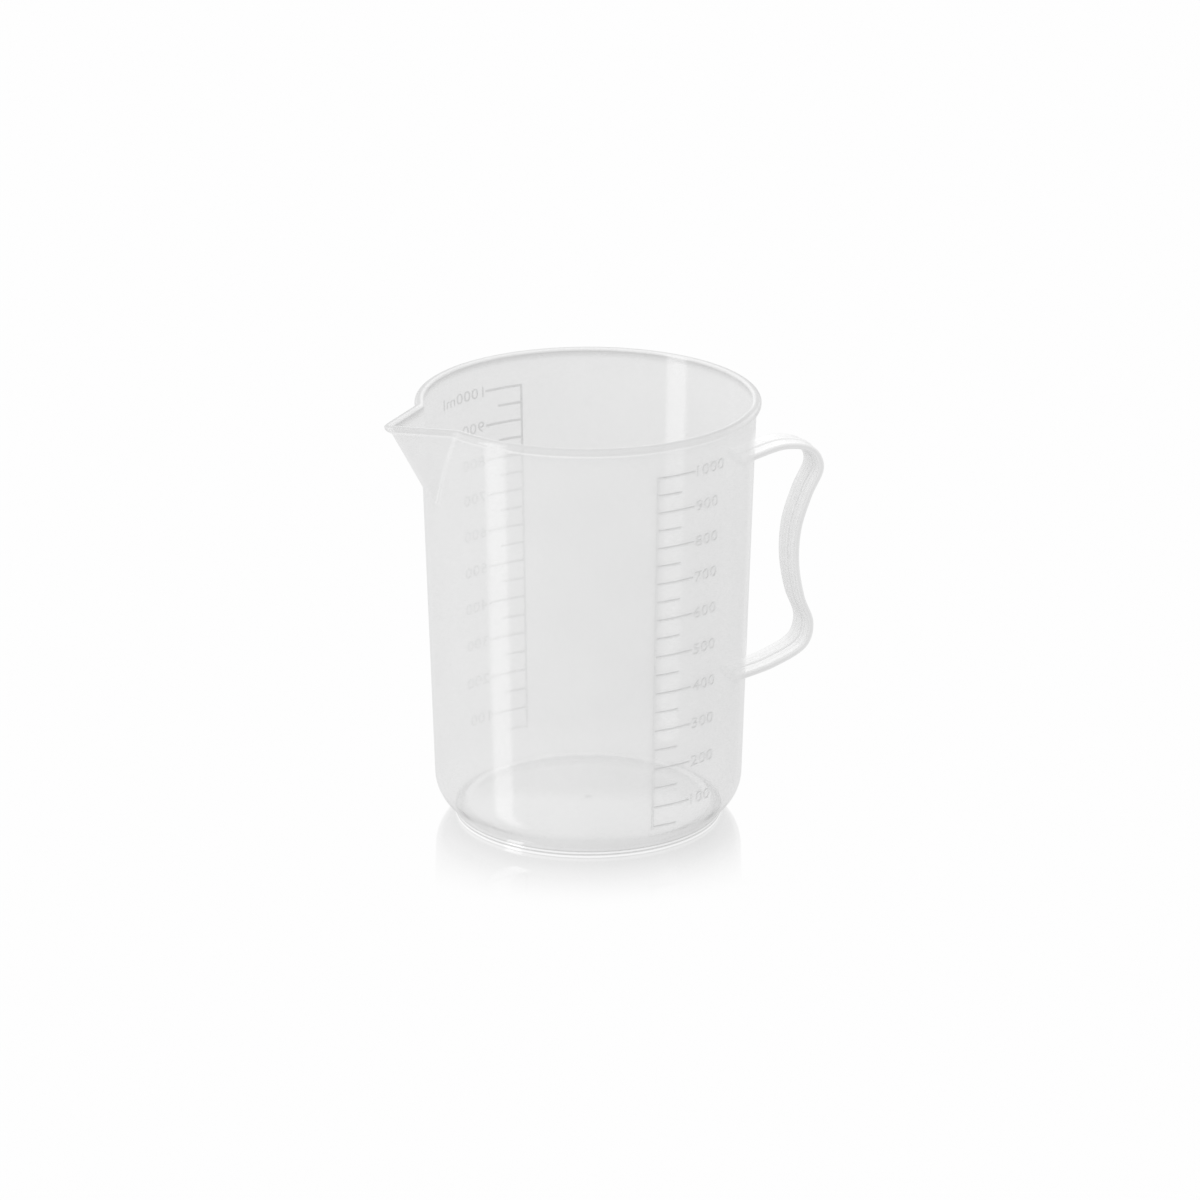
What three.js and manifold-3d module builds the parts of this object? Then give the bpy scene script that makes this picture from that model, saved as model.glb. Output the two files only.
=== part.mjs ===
// A 1000 ml measuring beaker moulded in one piece from natural polypropylene, split into its regions.
// Millimetres, +Z up. The vessel's axis is Z and the foot stands on z = 0. The handle points along +X and
// the spout along -X. One scale is on the -Y side and its twin, half a turn round, is on the +Y side.

import * as THREE from "three";
import { mergeVertices } from "three/addons/utils/BufferGeometryUtils.js";
import Module from "manifold-3d";

// ---- driving dimensions ----
const RIM_HEIGHT = 140.3;
const OUTER_RADIUS_AT_FOOT = 49.65;     // the wall's cone carried down to z = 0
const OUTER_RADIUS_AT_RIM = 54.0;
const WALL = 1.3;
const ROUND_STEPS = 72;                 // facets round the vessel

const UNDERSIDE_HEIGHT = 1.0;           // the floor's underside stands this far above the table
const FLOOR_THICKNESS = 1.8;
const HEEL_OUTER_RADIUS = 12.4;
const HEEL_INNER_RADIUS = 10.5;
const HEEL_TOP = 15;                    // height at which the heel hands over to the straight wall
const HEEL_STEPS = 6;

const FOOT_OUTER_RADIUS = 43.5;
const FOOT_INNER_RADIUS = 41.3;
const FOOT_EDGE = 0.3;                  // chamfer on the foot's lower edges
const FOOT_BURIED_TOP = 6;              // the ring is made this tall, then cut where it meets the heel

const BEAD_RADIUS = 1.5;                // half-round bead outside the rim
const BEAD_STEPS = 8;
const LIP_EASE = 0.5;                   // the inner rim edge is broken by this much

const SPOUT_HALF_ANGLE = THREE.MathUtils.degToRad(40);  // of the V, seen from above
const SPOUT_APEX_HEIGHT = 107.6;        // where the keel leaves the wall
const KEEL_SLOPE = 0.53;                // reach gained for each millimetre of height
const KEEL_ROUNDING = 1.8;
const KEEL_STEPS = 4;
const LIP_DROP = 0.5;                   // how far the lip falls from the rim to the spout's tip
const LIP_BEAD_RADIUS = 1.3;            // the bead is a little finer along the spout
const LIP_STEPS = 44;
const SPOUT_ARM = 30;                   // length of the V's arms, enough to reach inside the wall

const STRAP_WIDTH = 11.8;
const STRAP_THICKNESS = 2.0;
const STRAP_EDGE = 0.45;
const STRAP_STEPS = 56;
const RIB_WIDTH = 2.4;
const RIB_HEIGHT = 0.4;
// Middle of the strap as [distance from the axis, height], from inside the upper wall to inside the lower.
const STRAP_ROUTE = [
  [49.5, 111.5], [59, 114.5], [69, 116], [77.9, 113.4], [80.9, 107.4], [76.8, 98.3], [73, 87.1],
  [72.3, 75.2], [74.4, 63.2], [77.8, 53.5], [75.9, 46.7], [65.1, 41.4], [48, 37.8],
];

const FULL_VOLUME = 1000;               // millilitres
const VOLUME_STEP = 50;
const LINE_WIDTH = 0.6;
const LINE_RELIEF = 0.3;
const LONG_LINE = 13.5;                 // each hundred
const SHORT_LINE = 8.6;                 // each fifty between
const SCALE_TAIL = 0.9;                 // the upright line runs this far below the lowest volume line

const GATE_RADIUS = 1.6;
const GATE_WIDTH = 0.5;
const GATE_HEIGHT = 0.3;
const GATE_STEPS = 24;

// ---- values that follow from them ----
const taper = (OUTER_RADIUS_AT_RIM - OUTER_RADIUS_AT_FOOT) / RIM_HEIGHT;
const draft = Math.atan(taper);
const outerRadius = (z) => OUTER_RADIUS_AT_FOOT + taper * z;
const innerRadius = (z) => outerRadius(z) - WALL;
const floorHeight = UNDERSIDE_HEIGHT + FLOOR_THICKNESS;

// A heel arc touches the flat floor at its foot and the tapered wall at its top.
function heelArc(radius, bottom, radiusAt) {
  const centreZ = bottom + radius;
  const centreR = radiusAt(centreZ) - radius / Math.cos(draft);
  const points = [];
  for (let i = 0; i <= HEEL_STEPS; i++) {
    const angle = THREE.MathUtils.lerp(-Math.PI / 2, -draft, i / HEEL_STEPS);
    const point = new THREE.Vector2(centreR + radius * Math.cos(angle), centreZ + radius * Math.sin(angle));
    points.push(point);
  }
  return points;
}
const outerHeel = heelArc(HEEL_OUTER_RADIUS, UNDERSIDE_HEIGHT, outerRadius);
const innerHeel = heelArc(HEEL_INNER_RADIUS, floorHeight, innerRadius);
const floorRadius = outerHeel[0].x;

// ---- materials ----
function polypropylene(color, roughness) {
  return new THREE.MeshStandardMaterial({ color, roughness, metalness: 0 });
}
const milky = polypropylene(0xe2e3e3, 0.32);
const milkyThick = polypropylene(0xd9dada, 0.32);
const milkyRaised = polypropylene(0xd2d3d3, 0.4);

// ---- helpers ----
const beaker = new THREE.Group();

function addPiece(name, geometry, material) {
  const mesh = new THREE.Mesh(geometry, material);
  mesh.name = name;
  beaker.add(mesh);
}

// Turns a closed outline, given counter-clockwise as [radius, height] points, into a ring or disc round Z.
function turn(outline) {
  const geometry = new THREE.LatheGeometry([...outline, outline[0]], ROUND_STEPS);
  return geometry.rotateX(Math.PI / 2);
}

const wasm = await Module();
wasm.setup();

function toSolid(geometry) {
  const bare = geometry.clone();
  bare.deleteAttribute("normal");
  bare.deleteAttribute("uv");
  const merged = mergeVertices(bare, 1e-5);
  const vertProperties = new Float32Array(merged.attributes.position.array);
  const triVerts = new Uint32Array(merged.index.array);
  return new wasm.Manifold(new wasm.Mesh({ numProp: 3, vertProperties, triVerts }));
}

function toGeometry(solid) {
  const mesh = solid.getMesh();
  const geometry = new THREE.BufferGeometry();
  geometry.setAttribute("position", new THREE.BufferAttribute(new Float32Array(mesh.vertProperties), 3));
  geometry.setIndex(new THREE.BufferAttribute(new Uint32Array(mesh.triVerts), 1));
  geometry.computeVertexNormals();
  return geometry;
}

function block(minX, maxX, minY, maxY, minZ, maxZ) {
  const geometry = new THREE.BoxGeometry(maxX - minX, maxY - minY, maxZ - minZ);
  return geometry.translate((minX + maxX) / 2, (minY + maxY) / 2, (minZ + maxZ) / 2);
}

// ---- the vessel's outer form, used to trim what is fixed to it ----
function vesselBody(growth) {
  const heel = outerHeel.map((p) => new THREE.Vector2(p.x + growth, p.y));
  const outline = [
    new THREE.Vector2(0, UNDERSIDE_HEIGHT),
    ...heel,
    new THREE.Vector2(outerRadius(HEEL_TOP) + growth, HEEL_TOP),
    new THREE.Vector2(outerRadius(RIM_HEIGHT) + growth, RIM_HEIGHT),
    new THREE.Vector2(0, RIM_HEIGHT),
  ];
  return toSolid(turn(outline));
}
const body = vesselBody(0);

// ---- spout forms: a V swept up the sloping keel ----
const keelReach = (z) => outerRadius(SPOUT_APEX_HEIGHT) + KEEL_SLOPE * (z - SPOUT_APEX_HEIGHT);

function spoutPrism(inset, bottom, top) {
  const back = inset / Math.sin(SPOUT_HALF_ANGLE);
  const rounding = KEEL_ROUNDING - inset;
  const armX = -SPOUT_ARM * Math.cos(SPOUT_HALF_ANGLE);
  const armY = SPOUT_ARM * Math.sin(SPOUT_HALF_ANGLE);
  const tangent = rounding / Math.tan(SPOUT_HALF_ANGLE);
  const nearX = -tangent * Math.cos(SPOUT_HALF_ANGLE);
  const nearY = tangent * Math.sin(SPOUT_HALF_ANGLE);
  const centre = -rounding / Math.sin(SPOUT_HALF_ANGLE);
  const swing = Math.PI / 2 - SPOUT_HALF_ANGLE;
  const shape = new THREE.Shape();
  shape.moveTo(armX, -armY);
  shape.lineTo(nearX, -nearY);
  shape.absarc(centre, 0, rounding, -swing, swing, false);
  shape.lineTo(armX, armY);
  const geometry = new THREE.ExtrudeGeometry(shape, {
    depth: top - bottom, bevelEnabled: false, curveSegments: KEEL_STEPS,
  });
  const shear = new THREE.Matrix4().set(1, 0, KEEL_SLOPE, 0, 0, 1, 0, 0, 0, 0, 1, 0, 0, 0, 0, 1);
  geometry.applyMatrix4(shear);
  geometry.translate(keelReach(bottom) - back, 0, bottom);
  return geometry.rotateZ(Math.PI);
}
const SPOUT_OVERRUN = 6;                // the untrimmed V runs this far past the apex and the rim
const prismBottom = SPOUT_APEX_HEIGHT - SPOUT_OVERRUN;
const prismTop = RIM_HEIGHT + SPOUT_OVERRUN;
const spoutOuter = toSolid(spoutPrism(0, prismBottom, prismTop));
const spoutInner = toSolid(spoutPrism(WALL, prismBottom, prismTop));

// Half the spout's width where its edges meet the rim, and the plane its top edges lie in.
const tipReach = keelReach(RIM_HEIGHT);
const slant = Math.tan(SPOUT_HALF_ANGLE);
const rootReach = (() => {
  const a = 1 + slant * slant;
  const b = tipReach * slant * slant;
  const c = b * tipReach - OUTER_RADIUS_AT_RIM ** 2;
  return (b + Math.sqrt(b * b - a * c)) / a;
})();
const rootHalfWidth = (tipReach - rootReach) * slant;
const dropPerReach = LIP_DROP / (tipReach - rootReach);
const lipHeight = (reach) => RIM_HEIGHT - dropPerReach * (reach - rootReach);

// What lies above the rim's level or above the slanting plane of the lip.
function aboveLip() {
  const size = OUTER_RADIUS_AT_RIM * 2;
  const slanting = block(-size, size, -size, size, 0, size);
  slanting.rotateY(-Math.atan(dropPerReach));
  slanting.translate(-rootReach, 0, RIM_HEIGHT);
  const level = block(-size, size, -size, size, RIM_HEIGHT, RIM_HEIGHT + size);
  return toSolid(slanting).add(toSolid(level));
}

// ---- pieces ----
function makeBaseFloor() {
  const outline = [
    new THREE.Vector2(0, UNDERSIDE_HEIGHT),
    new THREE.Vector2(floorRadius, UNDERSIDE_HEIGHT),
    new THREE.Vector2(floorRadius, floorHeight),
    new THREE.Vector2(0, floorHeight),
  ];
  const geometry = new THREE.LatheGeometry(outline, ROUND_STEPS).rotateX(Math.PI / 2);
  addPiece("base_floor", geometry, milky);
}

function makeGateRing() {
  const outline = [
    new THREE.Vector2(GATE_RADIUS - GATE_WIDTH, floorHeight),
    new THREE.Vector2(GATE_RADIUS, floorHeight),
    new THREE.Vector2(GATE_RADIUS - GATE_WIDTH / 2, floorHeight + GATE_HEIGHT),
  ];
  const geometry = new THREE.LatheGeometry([...outline, outline[0]], GATE_STEPS).rotateX(Math.PI / 2);
  addPiece("gate_ring", geometry, milkyRaised);
}

function makeBaseHeel() {
  const outline = [
    ...outerHeel,
    new THREE.Vector2(outerRadius(HEEL_TOP), HEEL_TOP),
    new THREE.Vector2(innerRadius(HEEL_TOP), HEEL_TOP),
    ...[...innerHeel].reverse(),
    new THREE.Vector2(floorRadius, floorHeight),
  ];
  addPiece("base_heel", turn(outline), milkyThick);
}

function makeFootRing() {
  const outline = [
    new THREE.Vector2(FOOT_INNER_RADIUS, FOOT_EDGE),
    new THREE.Vector2(FOOT_INNER_RADIUS + FOOT_EDGE, 0),
    new THREE.Vector2(FOOT_OUTER_RADIUS - FOOT_EDGE, 0),
    new THREE.Vector2(FOOT_OUTER_RADIUS, FOOT_EDGE),
    new THREE.Vector2(FOOT_OUTER_RADIUS, FOOT_BURIED_TOP),
    new THREE.Vector2(FOOT_INNER_RADIUS, FOOT_BURIED_TOP),
  ];
  addPiece("foot_ring", toGeometry(toSolid(turn(outline)).subtract(body)), milkyThick);
}

function makeVesselWall() {
  const outline = [
    new THREE.Vector2(outerRadius(HEEL_TOP), HEEL_TOP),
    new THREE.Vector2(outerRadius(RIM_HEIGHT), RIM_HEIGHT),
    new THREE.Vector2(innerRadius(RIM_HEIGHT) + LIP_EASE, RIM_HEIGHT),
    new THREE.Vector2(innerRadius(RIM_HEIGHT - LIP_EASE), RIM_HEIGHT - LIP_EASE),
    new THREE.Vector2(innerRadius(HEEL_TOP), HEEL_TOP),
  ];
  addPiece("vessel_wall", toGeometry(toSolid(turn(outline)).subtract(spoutInner)), milky);
}

function beadRing() {
  const centreZ = RIM_HEIGHT - BEAD_RADIUS;
  const outline = [];
  for (let i = 0; i <= BEAD_STEPS; i++) {
    const angle = THREE.MathUtils.lerp(-Math.PI / 2, Math.PI / 2, i / BEAD_STEPS);
    const height = centreZ + BEAD_RADIUS * Math.sin(angle);
    outline.push(new THREE.Vector2(outerRadius(height) + BEAD_RADIUS * Math.cos(angle), height));
  }
  return toSolid(turn(outline));
}

function makeRimBead() {
  addPiece("rim_bead", toGeometry(beadRing().subtract(spoutOuter)), milkyThick);
}

function makePourSpout() {
  const cheeks = spoutOuter.subtract(spoutInner).subtract(body).subtract(aboveLip());
  addPiece("pour_spout", toGeometry(cheeks), milky);
}

// The bead follows one edge to the tip, turns round it and comes back along the other edge. Its middle lies
// on the cheeks' outer faces, one bead radius below the lip.
function makeSpoutLip() {
  const sharpTip = tipReach - KEEL_SLOPE * LIP_BEAD_RADIUS;
  const onCheek = (reach, height) => new THREE.Vector3(-reach, (sharpTip - reach) * slant, height);
  const mirrored = (p) => new THREE.Vector3(p.x, -p.y, p.z);
  const rimLevel = RIM_HEIGHT - LIP_BEAD_RADIUS;
  const tipLevel = lipHeight(tipReach) - LIP_BEAD_RADIUS;
  const buried = onCheek(rootReach - LIP_BEAD_RADIUS * 2, rimLevel);
  const turnStart = onCheek(sharpTip - KEEL_ROUNDING, tipLevel);
  const corner = new THREE.Vector3(-sharpTip, 0, tipLevel);
  const path = new THREE.CurvePath();
  path.add(new THREE.LineCurve3(buried, turnStart));
  path.add(new THREE.QuadraticBezierCurve3(turnStart, corner, mirrored(turnStart)));
  path.add(new THREE.LineCurve3(mirrored(turnStart), mirrored(buried)));
  const section = new THREE.Shape();
  section.absarc(0, 0, LIP_BEAD_RADIUS, 0, Math.PI * 2, false);
  const tube = new THREE.ExtrudeGeometry(section, {
    steps: LIP_STEPS, extrudePath: path, bevelEnabled: false, curveSegments: BEAD_STEPS * 2,
  });
  const lip = toSolid(tube).subtract(body).subtract(spoutOuter).subtract(beadRing());
  addPiece("spout_lip", toGeometry(lip), milkyThick);
}

// ---- handle: one route shared by the strap and its two ribs ----
const strapRoute = new THREE.CatmullRomCurve3(
  STRAP_ROUTE.map(([reach, height]) => new THREE.Vector3(reach, 0, height)), false, "centripetal");

function alongStrap(outline) {
  const geometry = new THREE.ExtrudeGeometry(new THREE.Shape(outline), {
    steps: STRAP_STEPS, extrudePath: strapRoute, bevelEnabled: false,
  });
  return toGeometry(toSolid(geometry).subtract(body));
}

function makeHandleStrap() {
  const x = STRAP_WIDTH / 2;
  const y = STRAP_THICKNESS / 2;
  const e = STRAP_EDGE;
  const corners = [
    [-x + e, -y], [x - e, -y], [x, -y + e], [x, y - e], [x - e, y], [-x + e, y], [-x, y - e], [-x, -y + e],
  ];
  addPiece("handle_strap", alongStrap(corners.map(([u, v]) => new THREE.Vector2(u, v))), milkyThick);
}

function makeHandleRib(name, side) {
  const half = RIB_WIDTH / 2;
  const root = side * STRAP_THICKNESS / 2;
  const crest = root + side * RIB_HEIGHT;
  const corners = [[-half, root], [half, root], [half - RIB_HEIGHT, crest], [-half + RIB_HEIGHT, crest]];
  addPiece(name, alongStrap(corners.map(([u, v]) => new THREE.Vector2(u, v))), milkyRaised);
}

// ---- scales ----
// Height at which the vessel holds a volume: thin slices are added up from the floor.
function heightOfVolume(millilitres) {
  const slice = 0.02;
  const corner = innerHeel[HEEL_STEPS].y;
  const centre = new THREE.Vector2(innerHeel[0].x, floorHeight + HEEL_INNER_RADIUS);
  let z = floorHeight;
  let held = 0;
  while (held < millilitres * 1000) {
    const below = centre.y - z;
    const inHeel = z < corner;
    const radius = inHeel ? centre.x + Math.sqrt(HEEL_INNER_RADIUS ** 2 - below * below) : innerRadius(z);
    held += Math.PI * radius * radius * slice;
    z += slice;
  }
  return z;
}

function makeScale(name, turnAngle) {
  const low = heightOfVolume(VOLUME_STEP);
  const high = heightOfVolume(FULL_VOLUME);
  const half = LINE_WIDTH / 2;
  const outside = OUTER_RADIUS_AT_RIM * 1.1;
  const inside = OUTER_RADIUS_AT_FOOT / 2;
  let comb = toSolid(block(-half, half, -outside, -inside, low - SCALE_TAIL, high + half));
  for (let volume = VOLUME_STEP; volume <= FULL_VOLUME; volume += VOLUME_STEP) {
    const z = heightOfVolume(volume);
    const reach = volume % (2 * VOLUME_STEP) === 0 ? LONG_LINE : SHORT_LINE;
    comb = comb.add(toSolid(block(-half / 2, reach, -outside, -inside, z - half, z + half)));
  }
  const raised = comb.intersect(vesselBody(LINE_RELIEF)).subtract(body);
  addPiece(name, toGeometry(raised).rotateZ(turnAngle), milkyRaised);
}

makeBaseFloor();
makeGateRing();
makeBaseHeel();
makeFootRing();
makeVesselWall();
makeRimBead();
makePourSpout();
makeSpoutLip();
makeHandleStrap();
makeHandleRib("handle_outer_rib", -1);
makeHandleRib("handle_inner_rib", 1);
makeScale("front_scale", 0);
makeScale("back_scale", Math.PI);

export default beaker;
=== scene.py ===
"""Looks of a 1000 ml measuring beaker moulded in one piece from natural polypropylene.

Metres, +Z up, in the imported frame: the vessel's axis is Z, the foot stands on z = 0, the handle points
along +X and the spout along -X. The front scale faces -Y and its twin, half a turn round, faces +Y."""
import math
import bmesh
import bpy
import numpy as np
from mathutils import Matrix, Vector


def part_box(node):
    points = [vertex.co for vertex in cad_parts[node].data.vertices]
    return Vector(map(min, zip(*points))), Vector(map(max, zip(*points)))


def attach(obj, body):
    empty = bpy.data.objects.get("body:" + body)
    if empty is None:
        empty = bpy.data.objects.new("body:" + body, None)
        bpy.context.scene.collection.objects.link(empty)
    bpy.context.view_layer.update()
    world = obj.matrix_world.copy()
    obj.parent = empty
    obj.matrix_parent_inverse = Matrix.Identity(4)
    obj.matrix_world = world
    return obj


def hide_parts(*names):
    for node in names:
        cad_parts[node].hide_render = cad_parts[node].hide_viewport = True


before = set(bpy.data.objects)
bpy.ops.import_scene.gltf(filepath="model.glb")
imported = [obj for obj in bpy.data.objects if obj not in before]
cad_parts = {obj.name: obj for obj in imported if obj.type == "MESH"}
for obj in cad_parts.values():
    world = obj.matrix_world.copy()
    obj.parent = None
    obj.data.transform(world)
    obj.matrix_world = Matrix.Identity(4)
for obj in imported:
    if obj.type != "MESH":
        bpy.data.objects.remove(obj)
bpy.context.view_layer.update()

MM = 0.001
ML_PER_CUBIC_METRE = 1e6

# ---- vessel sizes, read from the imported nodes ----
rim_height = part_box("vessel_wall")[1].z
rim_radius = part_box("vessel_wall")[1].y
heel_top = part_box("base_heel")[1].z
heel_top_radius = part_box("base_heel")[1].y
underside, floor_top = (corner.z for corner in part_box("base_floor"))
floor_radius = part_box("base_floor")[1].y
foot_outer_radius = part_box("foot_ring")[1].y
bead_radius = (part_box("rim_bead")[1].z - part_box("rim_bead")[0].z) / 2
strap_half_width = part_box("handle_strap")[1].y
gate_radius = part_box("gate_ring")[1].y
gate_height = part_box("gate_ring")[1].z - floor_top

taper = (rim_radius - heel_top_radius) / (rim_height - heel_top)
draft = math.atan(taper)

# ---- sizes repeated from the part ----
WALL = 1.3 * MM
HEEL_OUTER_RADIUS = 12.4 * MM
HEEL_INNER_RADIUS = 10.5 * MM
FOOT_WIDTH = 2.2 * MM
LIP_EASE = 0.5 * MM
SPOUT_HALF_ANGLE = math.radians(40)     # of the V, seen from above
SPOUT_APEX_HEIGHT = 107.6 * MM          # where the keel leaves the wall
KEEL_SLOPE = 0.53                       # reach gained for each unit of height
KEEL_ROUNDING = 1.8 * MM
LIP_DROP = 0.5 * MM                     # how far the lip falls from the rim to the spout's tip
LIP_BEAD_RADIUS = 1.3 * MM
STRAP_HALF_THICKNESS = 1.0 * MM
# Middle of the handle in millimetres as (distance from the axis, height), from inside the upper wall to
# inside the lower wall.
STRAP_ROUTE = [
    (49.5, 111.5), (59, 114.5), (69, 116), (77.9, 113.4), (80.9, 107.4), (76.8, 98.3), (73, 87.1),
    (72.3, 75.2), (74.4, 63.2), (77.8, 53.5), (75.9, 46.7), (65.1, 41.4), (48, 37.8),
]
FULL_VOLUME = 1000                      # millilitres
VOLUME_STEP = 50
LINE_WIDTH = 0.6 * MM
LINE_RELIEF = 0.3 * MM
LONG_LINE = 13.5 * MM                   # each hundred
SHORT_LINE = 8.6 * MM                   # each fifty between
SCALE_TAIL = 0.9 * MM                   # the upright line runs this far below the lowest volume line

# ---- sizes of the finer detail ----
EDGE_ROUNDING = 0.35 * MM               # on the foot's lower edges
SPOUT_FILLET = 0.9 * MM                 # where the cheeks run into the wall
ROOT_FILLET = 1.3 * MM                  # where the handle runs into the wall
BURIED = 0.7 * MM                       # how far the handle's ends lie inside the wall
GLYPH_HEIGHT = 3.6 * MM
GLYPH_GAP = 0.7 * MM                    # between a line's end and its number
GLYPH_STRETCH = 1.2                     # across
RELIEF_FOOTING = 0.05 * MM              # raised marks start this far inside the wall
RELIEF_SPREAD = 0.1 * MM                # a line's foot is this much wider on each side than the line
RELIEF_SLOPE = 0.28 * MM                # width of a line's sloping sides
WELD_DISTANCE = 1e-7                    # vertices closer than this are one

# ---- how the plastic looks from place to place, with painted light and shade ----
# A look is a tone, from dark to light, and a milkiness, from clear to opaque. Each vertex carries one.
# Many of the looks below paint light and shade into them.
LOOK_LAYERS = ("tone", "milk")
WALL_LOOK = (0.85, 0.35)
FLOOR_LOOK = (0.81, 0.35)
FLOOR_PAINTED_LIGHT_LOOK = (1.00, 0.85)         # painted light on one half of the floor
PAINTED_LIGHT_SIDE = Vector((-0.41, -0.91, 0))  # points from the axis to the half with the floor's painted light and the heel's painted shade
FLOOR_PAINTED_LIGHT_SPAN = (-14 * MM, 6 * MM)     # the floor's painted light comes in between these distances towards that half
FLOOR_EDGE_HIGHLIGHT_LOOK = (1.00, 0.75)          # painted highlight where the inner heel meets the floor, and on the gate ring's crest
GATE_SHADE_LOOK = (0.60, 0.65)                # painted shade inside the gate ring
HEEL_SHADE_LOOK = (0.83, 0.92)                # painted shade: a darker, milkier band low round the outer heel, on the half with the floor's painted light
HEEL_SHADE_STARTS = (0, 25 * MM)         # the painted shade comes in between these distances towards that half
HEEL_SHADE_FADES = (5.6 * MM, 6.8 * MM)  # and fades between these heights
CORNER_SHADE_LOOK = (0.70, 0.80)              # painted shade in the foot's inner corner, and on a line over its painted highlight
# painted highlight on the foot's side
FOOT_HIGHLIGHT_LOOK = (1.00, 0.90)
FOOT_HIGHLIGHT_TOP = 0.9 * MM                   # the painted highlight on the foot's side reaches up to here
CONTACT_SHADE_LOOK = (0.64, 0.90)             # painted shade on the foot's lower edge
BEAD_UNDERSIDE_HIGHLIGHT_LOOK = (1.00, 0.70)            # painted highlight on the bead's underside
BEAD_LOOK = (0.80, 0.55)                # on its side
BEAD_HIGHLIGHT_ENDS = -18                     # degrees on the bead's half circle, 0 at its side; the painted highlight underneath ends here
# the painted shade on the bead's top starts here
BEAD_SHADE_STARTS = 62
RIM_SHADE_LOOK = (0.61, 0.80)                 # painted shade on the rim's top, and just below its eased inner edge
LIP_HIGHLIGHT_LOOK = (0.93, 0.60)                 # painted highlight on that edge
ROOT_TONE = 1.0                         # where the handle runs into the wall
RELIEF_FOOT_SHADE_TONE = 0.67                 # painted shade at the foot of a raised mark
RELIEF_CREST_HIGHLIGHT_TONE = 0.91                # painted highlight on its raised face


def outer_radius(z):
    return rim_radius - taper * (rim_height - z)


def keel_reach(z):
    return outer_radius(SPOUT_APEX_HEIGHT) + KEEL_SLOPE * (z - SPOUT_APEX_HEIGHT)


def lerp(a, b, share):
    return a + (b - a) * share


def smoothstep(low, high, value):
    """0 below low and 1 above high, with a soft change between them."""
    share = min(max((value - low) / (high - low), 0.0), 1.0)
    return share * share * (3 - 2 * share)


def between(first, last, share):
    """The look this far on the way from the first to the last."""
    return tuple(lerp(a, b, share) for a, b in zip(first, last))


def arc(centre, radius, start, end, steps):
    """Points (radius from the axis, height) on an arc, its angles in degrees."""
    angles = [math.radians(lerp(start, end, i / steps)) for i in range(steps + 1)]
    return [(centre[0] + radius * math.cos(a), centre[1] + radius * math.sin(a)) for a in angles]


def add_piece(name, mesh, material, replaced=()):
    piece = bpy.data.objects.new(name, mesh)
    bpy.context.scene.collection.objects.link(piece)
    mesh.materials.append(material)
    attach(piece, "root")
    if replaced:
        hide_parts(*replaced)
    return piece


def new_bmesh():
    """An empty bmesh whose vertices carry a look."""
    bm = bmesh.new()
    for name in LOOK_LAYERS:
        bm.verts.layers.float.new(name)
    return bm


def new_vertex(bm, place, look):
    vertex = bm.verts.new(place)
    for name, value in zip(LOOK_LAYERS, look):
        vertex[bm.verts.layers.float[name]] = value
    return vertex


def bridge(bm, rows):
    """Joins each closed row of vertices to the next with quads."""
    for row, following in zip(rows, rows[1:]):
        for i in range(len(row)):
            j = (i + 1) % len(row)
            bm.faces.new((row[i], row[j], following[j], following[i]))


def finish_mesh(bm, name, sharp_angle):
    """Turns a bmesh into a smooth mesh with sharp edges, whose normals point outwards."""
    bmesh.ops.recalc_face_normals(bm, faces=bm.faces)
    mesh = bpy.data.meshes.new(name)
    bm.to_mesh(mesh)
    bm.free()
    mesh.shade_smooth()
    mesh.set_sharp_from_angle(angle=math.radians(sharp_angle))
    return mesh


# ---- vessel: floor, heel, foot, wall, rim bead and spout as one closed skin ----
tip_reach = keel_reach(rim_height)
WEDGE_SINE = math.sin(SPOUT_HALF_ANGLE)
WEDGE_LIMIT = math.pi / 2 - SPOUT_HALF_ANGLE    # at this angle the V's line comes nearest the axis
LEAST_ROUNDING = 0.3 * MM               # inside the V
SIDE_ANGLE = math.radians(40)           # outside this angle from the spout the columns are evenly spaced
LOW_FAN = math.radians(9)               # how far the spout's columns spread again at the heel
APEX_FAN = math.radians(1.2)            # half width of the spout's columns at the keel's apex
FILLET_FAN = math.radians(1.0)          # half width of the columns that carry the fillet
TIP_SHARE = 0.35                        # the tip's columns take at most this share of the spout's angle
FILLET_SHARE = 0.4                      # and the fillet's at most this share to either side of its end
COLUMNS = {"tip": 6, "cheek": 9, "fillet": 8, "flank": 12, "side": 70}

PLAIN_RINGS = 14                        # on the round wall, up to a little under the keel's apex
PLAIN_RINGS_END = 6 * MM                # this far under it
SPOUT_RINGS = 26                        # from there to just under the bead
SPOUT_RINGS_START = 4.5 * MM            # this far under the apex
BEAD_GAP = 0.3 * MM                     # between the last of them and the bead
BEAD_STEPS = 14
LIP_STEPS = 4
UNDERSIDE_SHARES = (0.1, 0.35, 0.7, 0.95)       # the underside's rings, as shares of the floor's radius
FLOOR_SHARES = (0.975, 0.9, 0.6, 0.3, 0.1)      # the floor's rings, as shares of the inner heel's radius
AROUND_GATE_SHARES = (1.3, 1.05)                # the floor's rings just round the gate ring
# The gate ring from outside to inside, as shares of its radius and height.
GATE_SECTION = ((0.92, 0.7), (0.84, 1.0), (0.76, 0.7), (0.66, 0.0), (0.25, 0.0))


def wedge_shape(z, offset):
    """The spout's V at height z, moved outwards by offset: reach of its sharp point, and its rounding."""
    return keel_reach(z) + offset / WEDGE_SINE, max(KEEL_ROUNDING + offset, LEAST_ROUNDING)


def wedge_angles(z, offset):
    """Angles from the spout's axis where the rounding ends and where the cheek meets the wall."""
    point, rounding = wedge_shape(z, offset)
    circle = outer_radius(z) + offset
    centre = point - rounding / WEDGE_SINE
    tangent = math.atan2(rounding * math.cos(SPOUT_HALF_ANGLE), centre + rounding * WEDGE_SINE)
    root = 0.0
    if point > circle:
        root = math.asin(min(1.0, point * WEDGE_SINE / circle)) - SPOUT_HALF_ANGLE
    return tangent, root


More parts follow.
